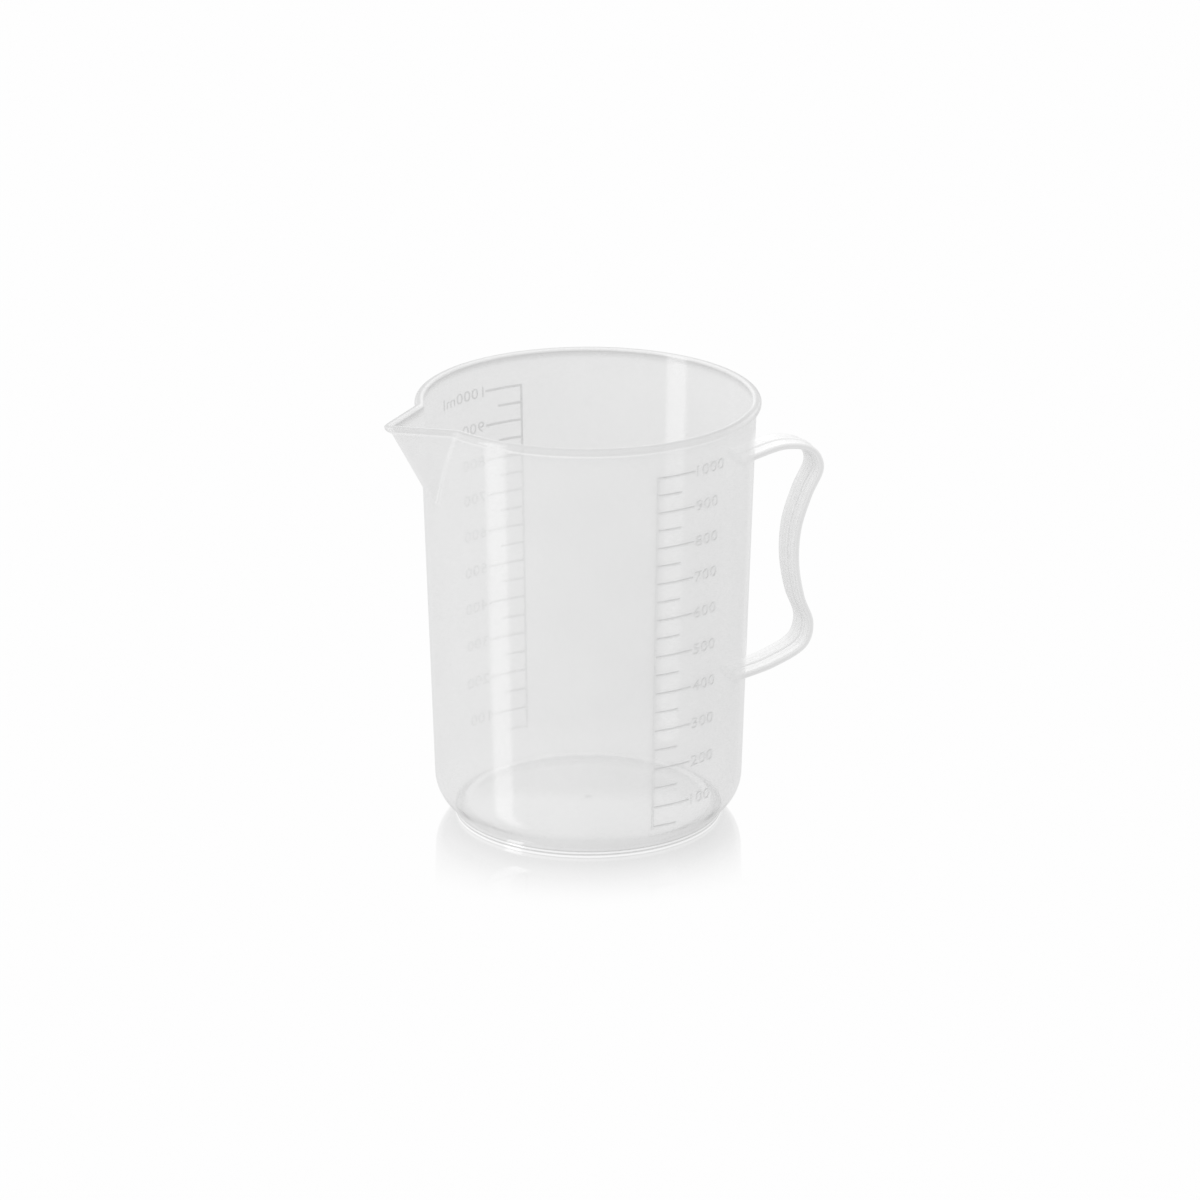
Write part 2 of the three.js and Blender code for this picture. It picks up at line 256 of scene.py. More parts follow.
def plan_radius(angle, z, offset):
    """Distance from the axis to the vessel's outline at height z, moved outwards by offset."""
    point, rounding = wedge_shape(z, offset)
    circle = outer_radius(z) + offset
    tangent, _ = wedge_angles(z, offset)
    if angle < tangent:
        centre = point - rounding / WEDGE_SINE
        wedge = centre * math.cos(angle) + math.sqrt(rounding ** 2 - (centre * math.sin(angle)) ** 2)
    else:
        wedge = point * WEDGE_SINE / math.sin(SPOUT_HALF_ANGLE + min(angle, WEDGE_LIMIT))
    overlap = max(SPOUT_FILLET - abs(circle - wedge), 0.0) / SPOUT_FILLET
    return max(circle, wedge) + overlap * overlap * SPOUT_FILLET / 4


def column_angles(z, offset):
    """Angles from the spout's axis, up to half a turn. Columns follow the rounding and fillet upwards."""
    tangent, root = wedge_angles(z, offset)
    root = max(root, APEX_FAN + LOW_FAN * max(0.0, 1 - z / SPOUT_APEX_HEIGHT))
    tangent = min(tangent, TIP_SHARE * root)
    fan = min(FILLET_FAN, FILLET_SHARE * root)
    stops = [0.0, tangent, root - fan, root + fan, SIDE_ANGLE, math.pi]
    angles = [0.0]
    for low, high, count in zip(stops, stops[1:], COLUMNS.values()):
        angles += [lerp(low, high, (i + 1) / count) for i in range(count)]
    return angles


def lip_sink(reach, z):
    """How far the spout's lip has fallen at this reach."""
    start = outer_radius(rim_height)
    along = min(max((reach - start) / (tip_reach - start), 0.0), 1.0)
    up = min(max((z - SPOUT_APEX_HEIGHT) / (rim_height - SPOUT_APEX_HEIGHT), 0.0), 1.0)
    return LIP_DROP * along * up


def wall_ring(z, offset, bead_angle=None):
    """One ring as (angle, radius, height).

    A bead angle, in radians, puts it on the bead's half circle instead, where 0 is the bead's side."""
    _, root = wedge_angles(rim_height, 0)
    ring = []
    for angle in column_angles(z, offset):
        height, outwards = z, offset
        if bead_angle is not None:
            on_spout = 1 - smoothstep(root - FILLET_FAN, root + FILLET_FAN * 2, angle)
            radius = lerp(bead_radius, LIP_BEAD_RADIUS, on_spout)
            outwards = radius * math.cos(bead_angle)
            height = rim_height - radius + radius * math.sin(bead_angle)
        reach = plan_radius(angle, height, outwards)
        ring.append((angle, reach, height - lip_sink(reach, height)))
    return ring


def turned_ring(radius, z):
    """A round ring as (angle, radius, height), with the wall's columns."""
    return [(angle, radius, z) for angle in column_angles(z, 0)]


def heel_centre(radius, bottom, wall_offset):
    """Centre of the heel's arc, which touches the level at its bottom and the wall moved outwards."""
    centre_z = bottom + radius
    return outer_radius(centre_z) + wall_offset - radius / math.cos(draft), centre_z


# The floor's look, with painted light on one half.
def floor_look(place):
    return between(FLOOR_LOOK, FLOOR_PAINTED_LIGHT_LOOK, smoothstep(*FLOOR_PAINTED_LIGHT_SPAN, PAINTED_LIGHT_SIDE.dot(place)))


# The outer heel's look, with a band of painted shade low on one half.
def heel_look(place):
    sideways = smoothstep(*HEEL_SHADE_STARTS, PAINTED_LIGHT_SIDE.dot(place))
    upwards = 1 - smoothstep(*HEEL_SHADE_FADES, place.z)
    return between(WALL_LOOK, HEEL_SHADE_LOOK, sideways * upwards)


def looking(look, points):
    """The points of a profile, each with this look."""
    return [(look, point) for point in points]


def outer_profile():
    """Underside, foot ring and outer heel as (look, (radius, height)), from the middle outwards.

    Here and in the other profiles a look is a pair, or a function that makes the pair from the place."""
    centre = heel_centre(HEEL_OUTER_RADIUS, underside, 0)

    def on_heel(radius):
        return centre[1] - math.sqrt(HEEL_OUTER_RADIUS ** 2 - (radius - centre[0]) ** 2)

    def heel_angle(radius):
        return -math.degrees(math.acos((radius - centre[0]) / HEEL_OUTER_RADIUS))

    def on_foot(look, *heights):
        return looking(look, [(foot_outer_radius, z) for z in heights])

    ease = EDGE_ROUNDING
    foot_inner = foot_outer_radius - FOOT_WIDTH
    inner_corner = (foot_inner - ease, on_heel(foot_inner) - ease)
    outer_corner = (foot_outer_radius + ease, on_heel(foot_outer_radius) - ease)
    profile = looking(WALL_LOOK, [(floor_radius * share, underside) for share in UNDERSIDE_SHARES])
    profile += looking(heel_look, arc(centre, HEEL_OUTER_RADIUS, -90, heel_angle(foot_inner - ease), 5))
    profile += looking(CORNER_SHADE_LOOK, arc(inner_corner, ease, 80, 0, 4))
    profile += looking(CONTACT_SHADE_LOOK, arc((foot_inner + ease, ease), ease, 180, 270, 5))
    profile += looking(CONTACT_SHADE_LOOK, arc((foot_outer_radius - ease, ease), ease, -90, -30, 4))
    profile += on_foot(FOOT_HIGHLIGHT_LOOK, ease, FOOT_HIGHLIGHT_TOP)
    profile += on_foot(CORNER_SHADE_LOOK, FOOT_HIGHLIGHT_TOP + 0.1 * MM, FOOT_HIGHLIGHT_TOP + 0.3 * MM)
    profile += on_foot(heel_look, FOOT_HIGHLIGHT_TOP + 0.5 * MM)
    profile += looking(heel_look, arc(outer_corner, ease, 180, 118, 4))
    heel = arc(centre, HEEL_OUTER_RADIUS, heel_angle(foot_outer_radius + ease), -math.degrees(draft), 16)
    return profile + looking(heel_look, heel)


def inner_profile():
    """Inner heel, floor and the raised gate ring as (look, (radius, height)), from the wall inwards."""
    centre = heel_centre(HEEL_INNER_RADIUS, floor_top, -WALL)
    profile = looking(WALL_LOOK, arc(centre, HEEL_INNER_RADIUS, -math.degrees(draft), -79, 16))
    profile += looking(FLOOR_EDGE_HIGHLIGHT_LOOK, arc(centre, HEEL_INNER_RADIUS, -81, -90, 4))
    profile += looking(floor_look, [(centre[0] * share, floor_top) for share in FLOOR_SHARES])
    profile += looking(floor_look, [(gate_radius * share, floor_top) for share in AROUND_GATE_SHARES])
    for share, rise in GATE_SECTION:
        look = between(GATE_SHADE_LOOK, FLOOR_EDGE_HIGHLIGHT_LOOK, rise)
        profile.append((look, (gate_radius * share, floor_top + gate_height * rise)))
    return profile


def bead_look(angle):
    """The look at this angle on the bead's half circle, in degrees: a painted highlight underneath, painted
    shade on top.
    """
    if angle < BEAD_HIGHLIGHT_ENDS:
        return BEAD_UNDERSIDE_HIGHLIGHT_LOOK
    if angle < BEAD_SHADE_STARTS:
        return BEAD_LOOK
    return RIM_SHADE_LOOK


def bead_rings():
    """The bead from its underside to the rim's top."""
    bottom = rim_height - 2 * bead_radius
    rings = []
    for i in range(BEAD_STEPS + 1):
        angle = lerp(-90, 90, i / BEAD_STEPS)
        turn = math.radians(angle)
        rings.append((bead_look(angle), wall_ring(bottom + bead_radius * (1 + math.sin(turn)), 0, turn)))
    return rings


def lip_rings():
    """The rim's flat top with painted shade, its eased inner edge with a painted highlight, and a line of
    painted shade just inside it.
    """
    flat_end = -WALL + LIP_EASE
    rings = [
        (RIM_SHADE_LOOK, wall_ring(rim_height, flat_end / 4)),
        (BEAD_LOOK, wall_ring(rim_height, flat_end / 2)),
        (LIP_HIGHLIGHT_LOOK, wall_ring(rim_height, flat_end)),
    ]
    for i in range(1, LIP_STEPS + 1):
        turn = math.radians(90 * i / LIP_STEPS)
        z = rim_height - LIP_EASE * (1 - math.cos(turn))
        rings.append((LIP_HIGHLIGHT_LOOK, wall_ring(z, flat_end - LIP_EASE * math.sin(turn))))
    rings.append((RIM_SHADE_LOOK, wall_ring(rim_height - 2 * LIP_EASE, -WALL)))
    return rings


def vessel_rings():
    """All rings of the skin with their looks, from the underside's middle to the floor's."""
    bead_bottom = rim_height - 2 * bead_radius
    plain = np.linspace(heel_top, SPOUT_APEX_HEIGHT - PLAIN_RINGS_END, PLAIN_RINGS)
    spout = np.linspace(SPOUT_APEX_HEIGHT - SPOUT_RINGS_START, bead_bottom - BEAD_GAP, SPOUT_RINGS)
    levels = [*plain, *spout]
    rings = [(look, turned_ring(radius, z)) for look, (radius, z) in outer_profile()]
    rings += [(WALL_LOOK, wall_ring(z, 0)) for z in levels]
    rings += bead_rings()
    rings += lip_rings()
    rings += [(WALL_LOOK, wall_ring(z, -WALL)) for z in reversed(levels)]
    rings += [(look, turned_ring(radius, z)) for look, (radius, z) in inner_profile()]
    return rings


def make_vessel(material):
    bm = new_bmesh()
    rows = []
    for look, ring in vessel_rings():
        right = [(-reach * math.cos(a), -reach * math.sin(a), z) for a, reach, z in ring]
        left = [(x, -y, z) for x, y, z in right[-2:0:-1]]
        places = [Vector(point) for point in right + left]
        rows.append([new_vertex(bm, place, look(place) if callable(look) else look) for place in places])
    bridge(bm, rows)
    for row in (rows[0], rows[-1]):
        middle = new_vertex(bm, (0, 0, row[0].co.z), WALL_LOOK)
        for i in range(len(row)):
            bm.faces.new((row[i], row[(i + 1) % len(row)], middle))
    mesh = finish_mesh(bm, "vessel", sharp_angle=50)
    nodes = ("base_floor", "gate_ring", "base_heel", "foot_ring", "vessel_wall", "rim_bead", "pour_spout",
             "spout_lip")
    return add_piece("vessel", mesh, material, nodes)


# ---- handle: one flat strap with a rib along both faces ----
STRAP_EDGE = 0.5 * MM                   # rounding of the strap's edges
RIB_HEIGHT = 0.4 * MM
# Half of the rib's section from its foot up: (millimetres from the middle, share of its height, tone).
# Its tones paint shade at the rib's foot and a highlight on its shoulder.
RIB_SECTION = [
    (1.45, 0.0, 0.91), (1.3, 0.0, 0.80), (1.1, 0.3, 0.82), (0.9, 0.85, 0.89), (0.65, 1.0, 0.93),
    (0.3, 1.0, 0.88),
]
FLAT_TONE = 0.92                        # beside the rib
LINE_SHADE_TONE = 0.86                        # painted shade on a faint line along each flat
# painted shade on the strap's rounded edges
EDGE_SHADE_TONE = 0.84
# painted shade on the strap's sides, darker than its top and bottom
SIDE_SHADE_TONE = 0.79
SPAN_STEPS = 14                         # steps between two points of the route


def centripetal_curve(points, steps):
    """A centripetal Catmull-Rom curve through the points, as in the part."""
    points = [Vector(p) for p in points]
    points = [points[0] * 2 - points[1], *points, points[-1] * 2 - points[-2]]
    curve = []
    for a, b, c, d in zip(points, points[1:], points[2:], points[3:]):
        t0, t1, t2 = ((q - p).length ** 0.5 for p, q in ((a, b), (b, c), (c, d)))
        leave = ((b - a) / t0 - (c - a) / (t0 + t1) + (c - b) / t1) * t1
        arrive = ((c - b) / t1 - (d - b) / (t1 + t2) + (d - c) / t2) * t1
        for i in range(steps):
            s = i / steps
            curve.append(b + leave * s + (c * 3 - b * 3 - leave * 2 - arrive) * s ** 2
                         + (b * 2 - c * 2 + leave + arrive) * s ** 3)
    return [*curve, points[-2]]


def strap_section(grow):
    """The strap's outline, moved outwards by grow, as (across, through, tone)."""
    half_width, half_thick, edge = strap_half_width + grow, STRAP_HALF_THICKNESS + grow, STRAP_EDGE + grow
    top = [(-across * MM, half_thick + RIB_HEIGHT * share, tone) for across, share, tone in RIB_SECTION]
    top += [(-x, y, tone) for x, y, tone in reversed(top)]
    corner = [
        (2.0 * MM, half_thick, FLAT_TONE),
        (half_width * 0.55, half_thick, LINE_SHADE_TONE),
        (half_width * 0.6, half_thick, FLAT_TONE),
        (half_width - edge - 0.2 * MM, half_thick, FLAT_TONE),
    ]
    corner += [(x, y, EDGE_SHADE_TONE) for x, y in arc((half_width - edge, half_thick - edge), edge, 90, 0, 5)]
    corner.append((half_width, (half_thick - edge) * 0.5, SIDE_SHADE_TONE))
    right = corner + [(x, -y, tone) for x, y, tone in reversed(corner)]
    left = [(-x, -y, tone) for x, y, tone in right]
    bottom = [(-x, -y, tone) for x, y, tone in top]
    return top + right + bottom + left


def make_handle(material):
    curve = centripetal_curve([(x * MM, 0, z * MM) for x, z in STRAP_ROUTE], SPAN_STEPS)
    curve = [p for p in curve if p.x > outer_radius(p.z) - BURIED]
    bm = new_bmesh()
    rows = []
    for i, point in enumerate(curve):
        along = (curve[min(i + 1, len(curve) - 1)] - curve[max(i - 1, 0)]).normalized()
        through = Vector((-along.z, 0, along.x))
        gap = max(point.x - outer_radius(point.z), 0.0)
        grow = 0.0
        if gap < ROOT_FILLET:
            grow = ROOT_FILLET - math.sqrt(ROOT_FILLET ** 2 - (ROOT_FILLET - gap) ** 2)
        row = []
        for across, out, tone in strap_section(grow):
            look = (lerp(tone, ROOT_TONE, grow / ROOT_FILLET), 1)
            row.append(new_vertex(bm, point + through * out + Vector((0, across, 0)), look))
        rows.append(row)
    bridge(bm, rows)
    bm.faces.new(rows[0])
    bm.faces.new(rows[-1])
    mesh = finish_mesh(bm, "handle", sharp_angle=40)
    nodes = ("handle_strap", "handle_outer_rib", "handle_inner_rib")
    return add_piece("handle", mesh, material, nodes)


# ---- scales and their numbers, raised on the wall ----
SLICES = 7000                           # that the inside's volume is added up from
CELLS_IN_LINE = 8                       # so that each line bends with the wall


def volume_heights():
    """Height of each volume line: thin slices of the inside are added up from the floor."""
    centre = heel_centre(HEEL_INNER_RADIUS, floor_top, -WALL)
    z = np.linspace(floor_top, rim_height, SLICES)
    below = np.clip(centre[1] - z, 0, HEEL_INNER_RADIUS)
    heel = centre[0] + np.sqrt(HEEL_INNER_RADIUS ** 2 - below ** 2)
    radius = np.where(z < centre[1], heel, outer_radius(z) - WALL)
    held = np.cumsum(math.pi * radius ** 2) * (z[1] - z[0]) * ML_PER_CUBIC_METRE
    volumes = range(VOLUME_STEP, FULL_VOLUME + 1, VOLUME_STEP)
    return {volume: float(np.interp(volume, held, z)) for volume in volumes}


def on_wall(x, z, relief, facing):
    """A point on the wall seen square on from -Y (facing 1) or from +Y (facing -1), raised by relief."""
    return Vector((x * facing, -facing * math.sqrt((outer_radius(z) + relief) ** 2 - x * x), z))


def make_scale(name, heights, facing, material, node_name):
    """An upright line and its volume lines as one closed comb, with sides that slope to a raised crest."""
    half = LINE_WIDTH / 2 + RELIEF_SPREAD
    lines = sorted(heights.items())
    upright = [lines[0][1] - SCALE_TAIL]
    for _, z in lines:
        upright += [z - half, z + half]
    cells = [((-half, half), (low, high)) for low, high in zip(upright, upright[1:])]
    for volume, z in lines:
        reach = SHORT_LINE if volume % (2 * VOLUME_STEP) else LONG_LINE
        xs = np.linspace(half, reach, CELLS_IN_LINE + 1)
        cells += [((a, b), (z - half, z + half)) for a, b in zip(xs, xs[1:])]
    bm = new_bmesh()
    made = {}

    def vertex(x, z):
        key = (round(x, 7), round(z, 7))
        if key not in made:
            made[key] = new_vertex(bm, on_wall(x, z, -RELIEF_FOOTING, facing), (RELIEF_FOOT_SHADE_TONE, 1))
        return made[key]

    for (x0, x1), (z0, z1) in cells:
        bm.faces.new([vertex(x, z) for x, z in ((x0, z0), (x1, z0), (x1, z1), (x0, z1))])
    faces = bm.faces[:]
    bmesh.ops.recalc_face_normals(bm, faces=faces)
    backs = bmesh.ops.duplicate(bm, geom=faces)["geom"]
    bmesh.ops.inset_region(bm, faces=faces, thickness=RELIEF_SLOPE, use_boundary=True, use_even_offset=True)
    tone = bm.verts.layers.float["tone"]
    for vert in {v for face in faces for v in face.verts}:
        distance = math.hypot(vert.co.x, vert.co.y)
        stretch = (distance + RELIEF_FOOTING + LINE_RELIEF) / distance
        vert.co.x *= stretch
        vert.co.y *= stretch
        vert[tone] = RELIEF_CREST_HIGHLIGHT_TONE
    bmesh.ops.reverse_faces(bm, faces=[item for item in backs if isinstance(item, bmesh.types.BMFace)])
    bmesh.ops.remove_doubles(bm, verts=bm.verts, dist=WELD_DISTANCE)
    mesh = finish_mesh(bm, name, sharp_angle=20)
    return add_piece(name, mesh, material, (node_name,))


def glyph_mesh(text):
    """A number in Blender's own sans-serif with sloping sides, in the font's own units.

    Its front and back are mirror images in depth."""
    curve = bpy.data.curves.new("glyphs", "FONT")
    curve.body = text
    curve.extrude = 0.004
    curve.bevel_depth = 0.035
    curve.bevel_resolution = 0
    curve.resolution_u = 5
    curve.offset = -0.03
    curve.space_character = 1.08
    holder = bpy.data.objects.new("glyphs", curve)
    bpy.context.scene.collection.objects.link(holder)
    graph = bpy.context.evaluated_depsgraph_get()
    mesh = bpy.data.meshes.new_from_object(holder.evaluated_get(graph))
    bpy.data.objects.remove(holder)
    bpy.data.curves.remove(curve)
    return mesh


def make_labels(name, heights, facing, material, unit):
    """The number beside each long line, bent round the wall. The unit follows the topmost one."""
    bm = new_bmesh()
    tone = bm.verts.layers.float["tone"]
    for volume, z in heights.items():
        if volume % (2 * VOLUME_STEP):
            continue
        digits = glyph_mesh(str(volume))
        digit_ys = [v.co.y for v in digits.vertices]
        bpy.data.meshes.remove(digits)
        scale = GLYPH_HEIGHT / (max(digit_ys) - min(digit_ys))
        middle = (max(digit_ys) + min(digit_ys)) / 2
        glyphs = glyph_mesh(str(volume) + (unit if volume == FULL_VOLUME else ""))
        points = np.array([v.co for v in glyphs.vertices])
        left_end = points[:, 0].min()
        shares = points[:, 2] / points[:, 2].max()
        for vert, (x, y, _), share in zip(glyphs.vertices, points, shares):
            across = LONG_LINE + GLYPH_GAP + (x - left_end) * scale * GLYPH_STRETCH
            relief = LINE_RELIEF * share if share > 0 else RELIEF_FOOTING * share
            vert.co = on_wall(across, z + (y - middle) * scale, relief, facing)
        first = len(bm.verts)
        bm.from_mesh(glyphs)
        bpy.data.meshes.remove(glyphs)
        bm.verts.ensure_lookup_table()
        for vert, share in zip(bm.verts[first:], shares):
            vert[tone] = lerp(RELIEF_FOOT_SHADE_TONE, RELIEF_CREST_HIGHLIGHT_TONE, max(share, 0.0))
    bmesh.ops.remove_doubles(bm, verts=bm.verts, dist=WELD_DISTANCE)
    mesh = finish_mesh(bm, name, sharp_angle=20)
    return add_piece(name, mesh, material)


# ---- materials ----
REFRACTIVE_INDEX = 1.49
CLOUD_NOISE = {"Scale": 38, "Detail": 4, "Roughness": 0.6}
CLOUD_TONES = {"From Min": 0.3, "From Max": 0.7, "To Min": 0.965, "To Max": 1.0}
GLOSS_SPREAD = (0.7, 1.3)               # the roughness varies between these shares of its value
SKIN_STRENGTH = 0.05
SKIN_DEPTH = 0.2 * MM


def node(tree, kind, inputs=None, **settings):
    """A shader node with its settings and the plain values of its inputs, by name or number."""
    made = tree.nodes.new(kind)
    for key, value in settings.items():
        setattr(made, key, value)
    for key, value in (inputs or {}).items():
        made.inputs[key].default_value = value
    return made


def polypropylene(name, roughness, gloss=1.0, alpha=None, painted_slope_shade=0.0):
    """Natural polypropylene: a clear and a milky share, faintly cloudy, with an uneven moulded skin.

    The mesh gives the tone, which carries painted light and shade in places, and, where alpha is None, the
    milkiness.
    The painted slope shade darkens faces that look up and lightens those that look down, as a raised mark
    shows in light that comes through the wall."""
    material = bpy.data.materials.new(name)
    material.use_nodes = True
    tree = material.node_tree
    shader = next(n for n in tree.nodes if n.type == "BSDF_PRINCIPLED")
    shader.inputs["IOR"].default_value = REFRACTIVE_INDEX
    shader.inputs["Specular IOR Level"].default_value = gloss
    place = node(tree, "ShaderNodeTexCoord")
    cloud = node(tree, "ShaderNodeTexNoise", CLOUD_NOISE)
    tree.links.new(place.outputs["Object"], cloud.inputs["Vector"])

    tone = node(tree, "ShaderNodeAttribute", attribute_name="tone").outputs["Fac"]
    if painted_slope_shade:
        facing = node(tree, "ShaderNodeSeparateXYZ")
        tree.links.new(node(tree, "ShaderNodeNewGeometry").outputs["Normal"], facing.inputs[0])
        slope = node(tree, "ShaderNodeMath", {1: -painted_slope_shade}, operation="MULTIPLY_ADD")
        tree.links.new(facing.outputs["Z"], slope.inputs[0])
        tree.links.new(tone, slope.inputs[2])
        tone = slope.outputs[0]
    cloudy = node(tree, "ShaderNodeMapRange", CLOUD_TONES)
    tree.links.new(cloud.outputs["Fac"], cloudy.inputs["Value"])
    shade = node(tree, "ShaderNodeMath", operation="MULTIPLY", use_clamp=True)
    tree.links.new(tone, shade.inputs[0])
    tree.links.new(cloudy.outputs["Result"], shade.inputs[1])
    tree.links.new(shade.outputs[0], shader.inputs["Base Color"])
    if alpha is None:
        milk = node(tree, "ShaderNodeAttribute", attribute_name="milk")
        tree.links.new(milk.outputs["Fac"], shader.inputs["Alpha"])
    else:
        shader.inputs["Alpha"].default_value = alpha

    smoothest, roughest = (roughness * share for share in GLOSS_SPREAD)
    spread = node(tree, "ShaderNodeMapRange", {"To Min": smoothest, "To Max": roughest})
    tree.links.new(cloud.outputs["Fac"], spread.inputs["Value"])
    tree.links.new(spread.outputs["Result"], shader.inputs["Roughness"])
    skin = node(tree, "ShaderNodeBump", {"Strength": SKIN_STRENGTH, "Distance": SKIN_DEPTH})
    tree.links.new(cloud.outputs["Fac"], skin.inputs["Height"])
    tree.links.new(skin.outputs["Normal"], shader.inputs["Normal"])
    return material


wall_plastic = polypropylene("polypropylene_wall", roughness=0.09)
thick_plastic = polypropylene("polypropylene_thick", roughness=0.24, gloss=0.3, alpha=1.0)
raised_plastic = polypropylene(
    "polypropylene_raised", roughness=0.16, gloss=0.3, alpha=0.55, painted_slope_shade=0.26,
)

line_heights = volume_heights()
handle = make_handle(thick_plastic)
beaker_pieces = [
    make_vessel(wall_plastic),
    handle,
    make_scale("front_scale_lines", line_heights, 1, raised_plastic, "front_scale"),
    make_scale("back_scale_lines", line_heights, -1, raised_plastic, "back_scale"),
    make_labels("front_numbers", line_heights, 1, raised_plastic, ""),
    make_labels("back_numbers", line_heights, -1, raised_plastic, "ml"),
]

# ---- studio ----
WHITE = 0.99                            # the background and floor where they are seen directly
GREY = 0.84                             # the same where they are seen through the plastic
HAZE_LIGHT = 1.00                       # mean light on the milky share of the plastic
LIGHT_SLANT = (-0.125, 0.057, 0.193)    # how much brighter it is from the left and from above
TABLE = 0.64                            # below the horizon, in the plastic's gloss
SKY_LIGHT = 1.5                         # straight overhead, in the plastic's gloss
SKY_WHITE = (0.15, 0.55)                # between these heights of its direction the gloss shows white
FLOOR_HALF_SIDE = 40
MIRROR_ROUGHNESS = 0.03
MIRROR_SHARE = 0.76                     # how strongly the floor mirrors close round the foot
MIRROR_FADES = (40 * MM, 88 * MM)       # the mirror image is gone between these distances from the axis
CAMERA_PLACE = (-0.7092, -1.5780, 0.6895)
CAMERA_AZIMUTH = -114.2                 # degrees from +X, of the camera's side of the axis
CAMERA_TILT = 70.337                    # degrees up from looking straight down
CAMERA_TURN = -24.327                   # degrees about Z
CAMERA_SENSOR = 36                      # millimetres
CAMERA_LENS = 170.31


def blend_value(tree, share, low, high):
    """Goes from low to high as the share goes from 0 to 1. Each may be a socket or a number."""
    mix = node(tree, "ShaderNodeMix")
    for index, value in ((0, share), (2, low), (3, high)):
        if isinstance(value, (int, float)):
            mix.inputs[index].default_value = value
        else:
            tree.links.new(value, mix.inputs[index])
    return mix.outputs[0]


def unobstructed(tree, light_path, kind):
    """1 for a ray of this kind that has passed through nothing, or else 0."""
    direct = node(tree, "ShaderNodeMath", operation="SUBTRACT", use_clamp=True)
    tree.links.new(light_path.outputs[kind], direct.inputs[0])
    tree.links.new(light_path.outputs["Transparent Depth"], direct.inputs[1])
    return direct.outputs[0]


def add_world():
    """White where it is seen directly and grey through the plastic.

    The plastic's gloss shows a sky, and its milky share is lit more strongly from one side."""
    world = bpy.data.worlds.new("studio")
    bpy.context.scene.world = world
    world.use_nodes = True
    world.cycles.sampling_method = "NONE"
    tree = world.node_tree
    tree.nodes.clear()
    out = node(tree, "ShaderNodeOutputWorld")
    light_path = node(tree, "ShaderNodeLightPath")
    place = node(tree, "ShaderNodeTexCoord")
    split = node(tree, "ShaderNodeSeparateXYZ")
    tree.links.new(place.outputs["Generated"], split.inputs[0])
    slant = node(tree, "ShaderNodeVectorMath", {1: LIGHT_SLANT}, operation="DOT_PRODUCT")
    tree.links.new(place.outputs["Generated"], slant.inputs[0])
    ambient = node(tree, "ShaderNodeMath", {1: HAZE_LIGHT}, operation="ADD")
    tree.links.new(slant.outputs["Value"], ambient.inputs[0])
    sky = node(tree, "ShaderNodeValToRGB")
    sky.color_ramp.elements[0].color = (TABLE, TABLE, TABLE, 1)
    sky.color_ramp.elements[1].color = (SKY_LIGHT, SKY_LIGHT, SKY_LIGHT, 1)
    for position in SKY_WHITE:
        sky.color_ramp.elements.new(position).color = (WHITE, WHITE, WHITE, 1)
    tree.links.new(split.outputs["Z"], sky.inputs[0])
    value = blend_value(tree, unobstructed(tree, light_path, "Is Glossy Ray"), GREY, sky.outputs["Color"])
    value = blend_value(tree, light_path.outputs["Is Diffuse Ray"], value, ambient.outputs[0])
    value = blend_value(tree, unobstructed(tree, light_path, "Is Camera Ray"), value, WHITE)
    backdrop = node(tree, "ShaderNodeBackground")
    tree.links.new(value, backdrop.inputs["Color"])
    tree.links.new(backdrop.outputs[0], out.inputs["Surface"])


def white_acrylic():
    """The floor: as white as the background, with a mirror image that fades out round the foot."""
    material = bpy.data.materials.new("white_acrylic")
    material.use_nodes = True
    tree = material.node_tree
    tree.nodes.clear()
    out = node(tree, "ShaderNodeOutputMaterial")
    light_path = node(tree, "ShaderNodeLightPath")
    white = node(tree, "ShaderNodeEmission")
    bare = unobstructed(tree, light_path, "Is Camera Ray")
    tree.links.new(blend_value(tree, bare, GREY, WHITE), white.inputs["Color"])
    mirror = node(tree, "ShaderNodeBsdfGlossy", {"Color": (1, 1, 1, 1), "Roughness": MIRROR_ROUGHNESS})
    place = node(tree, "ShaderNodeTexCoord")
    length = node(tree, "ShaderNodeVectorMath", operation="LENGTH")
    tree.links.new(place.outputs["Object"], length.inputs[0])
    near, far = MIRROR_FADES
    ends = {"From Min": near, "From Max": far, "To Min": MIRROR_SHARE, "To Max": 0.0}
    fade = node(tree, "ShaderNodeMapRange", ends, interpolation_type="SMOOTHSTEP")
    tree.links.new(length.outputs["Value"], fade.inputs["Value"])
    mix = node(tree, "ShaderNodeMixShader")
    tree.links.new(fade.outputs["Result"], mix.inputs[0])
    tree.links.new(white.outputs[0], mix.inputs[1])
    tree.links.new(mirror.outputs[0], mix.inputs[2])
    tree.links.new(mix.outputs[0], out.inputs["Surface"])
    return material


def add_floor():
    side = FLOOR_HALF_SIDE
    mesh = bpy.data.meshes.new("floor")
    corners = [(-side, -side, 0), (side, -side, 0), (side, side, 0), (-side, side, 0)]
    mesh.from_pydata(corners, [], [(0, 1, 2, 3)])
    mesh.materials.append(white_acrylic())
    floor = bpy.data.objects.new("floor", mesh)
    bpy.context.scene.collection.objects.link(floor)
    floor.visible_glossy = False
    floor.visible_transmission = False
    floor.visible_diffuse = False
    floor.visible_shadow = False


def collect(name, pieces):
    collection = bpy.data.collections.new(name)
    for piece in pieces:
        collection.objects.link(piece)
    return collection


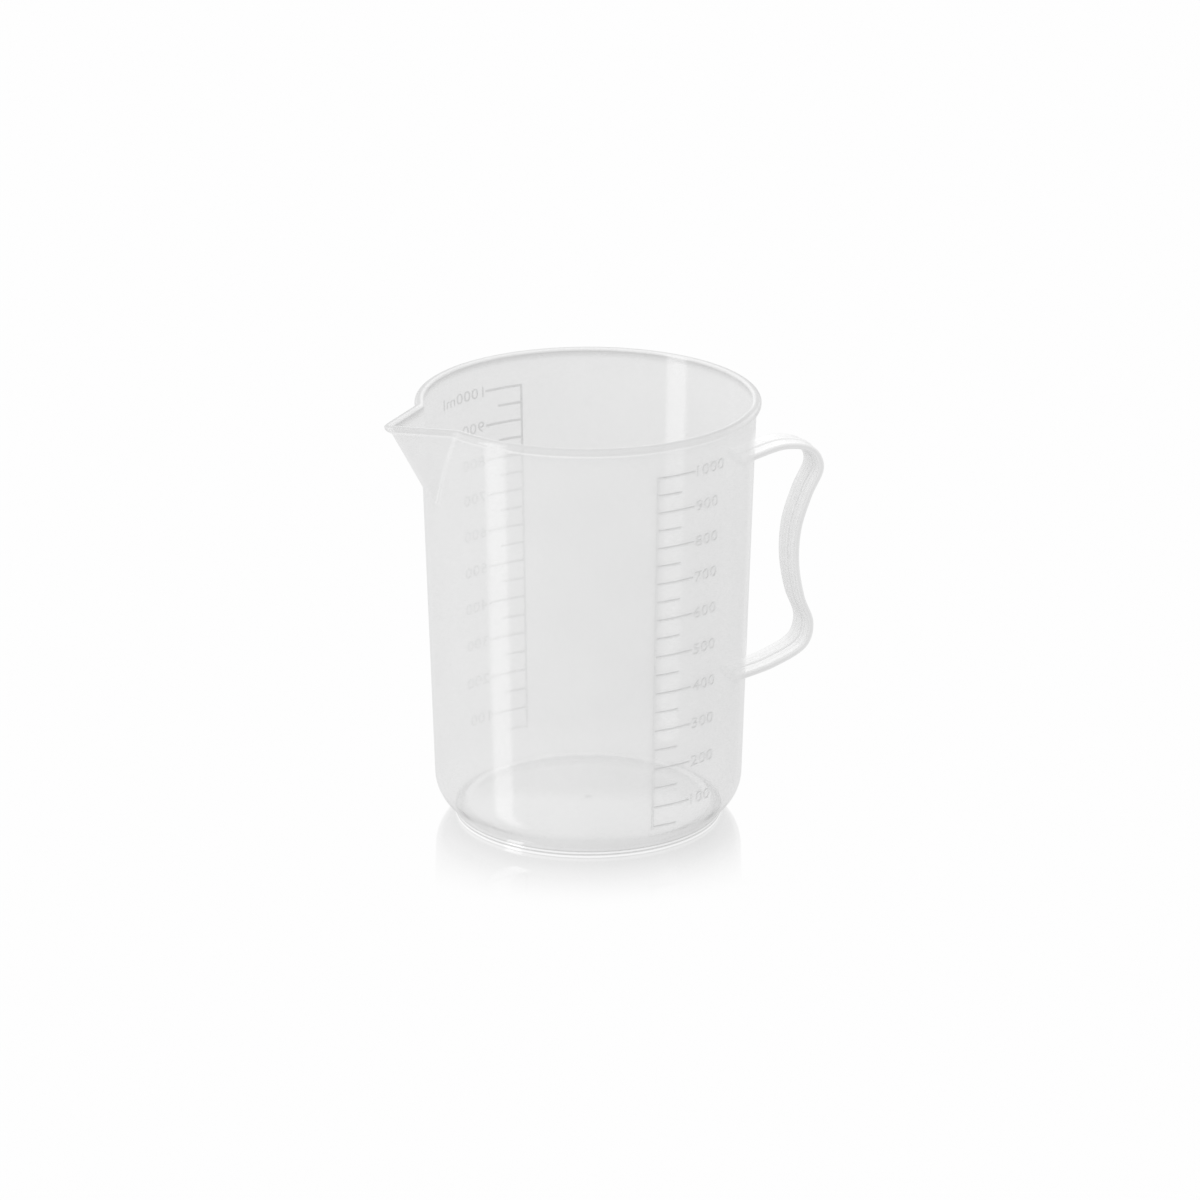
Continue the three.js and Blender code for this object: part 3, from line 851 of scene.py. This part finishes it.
def around(azimuth, distance, height):
    """A point at this azimuth, in degrees clockwise from the camera's side as seen from above."""
    angle = math.radians(CAMERA_AZIMUTH - azimuth)
    return distance * math.cos(angle), distance * math.sin(angle), height


def add_softbox(name, place, target, width, height, radiance, receivers, blockers):
    """A soft rectangular light that only shows as gloss on the receivers. Its height stands upright."""
    light = bpy.data.lights.new(name, "AREA")
    light.shape = "RECTANGLE"
    light.size, light.size_y = width, height
    light.energy = radiance * math.pi * width * height
    lamp = bpy.data.objects.new(name, light)
    lamp.location = place
    lamp.rotation_euler = (Vector(target) - Vector(place)).to_track_quat("-Z", "Y").to_euler()
    lamp.visible_camera = False
    lamp.visible_diffuse = False
    bpy.context.scene.collection.objects.link(lamp)
    lamp.light_linking.receiver_collection = receivers
    lamp.light_linking.blocker_collection = blockers


def add_camera():
    data = bpy.data.cameras.new("camera")
    data.sensor_width = CAMERA_SENSOR
    data.lens = CAMERA_LENS
    camera = bpy.data.objects.new("camera", data)
    camera.location = CAMERA_PLACE
    camera.rotation_euler = (math.radians(CAMERA_TILT), 0, math.radians(CAMERA_TURN))
    bpy.context.scene.collection.objects.link(camera)
    bpy.context.scene.camera = camera


def settle_cycles():
    """Enough bounces for the clear layers, little grain, and a denoiser that keeps the raised marks."""
    cycles = bpy.context.scene.cycles
    cycles.transparent_max_bounces = 32
    cycles.min_light_bounces = 12
    cycles.min_transparent_bounces = 32
    cycles.caustics_reflective = False
    cycles.sample_clamp_indirect = 2
    cycles.denoising_input_passes = "RGB"


add_world()
add_floor()
lit_pieces = collect("lit_pieces", beaker_pieces)
solid_pieces = collect("solid_pieces", [handle])    # the rest lets light through, so it blocks no softbox
add_softbox(
    "left_softbox", place=around(66.5, distance=1.2, height=-0.2), target=(0, 0, -0.2),
    width=0.34, height=2.4, radiance=1.8, receivers=lit_pieces, blockers=solid_pieces,
)
add_softbox(
    "back_softbox", place=around(180, distance=1.5, height=1.03), target=(0, 0, 0.23),
    width=2.0, height=0.8, radiance=0.8, receivers=solid_pieces, blockers=solid_pieces,
)
add_camera()
bpy.context.scene.view_settings.view_transform = "Standard"
settle_cycles()
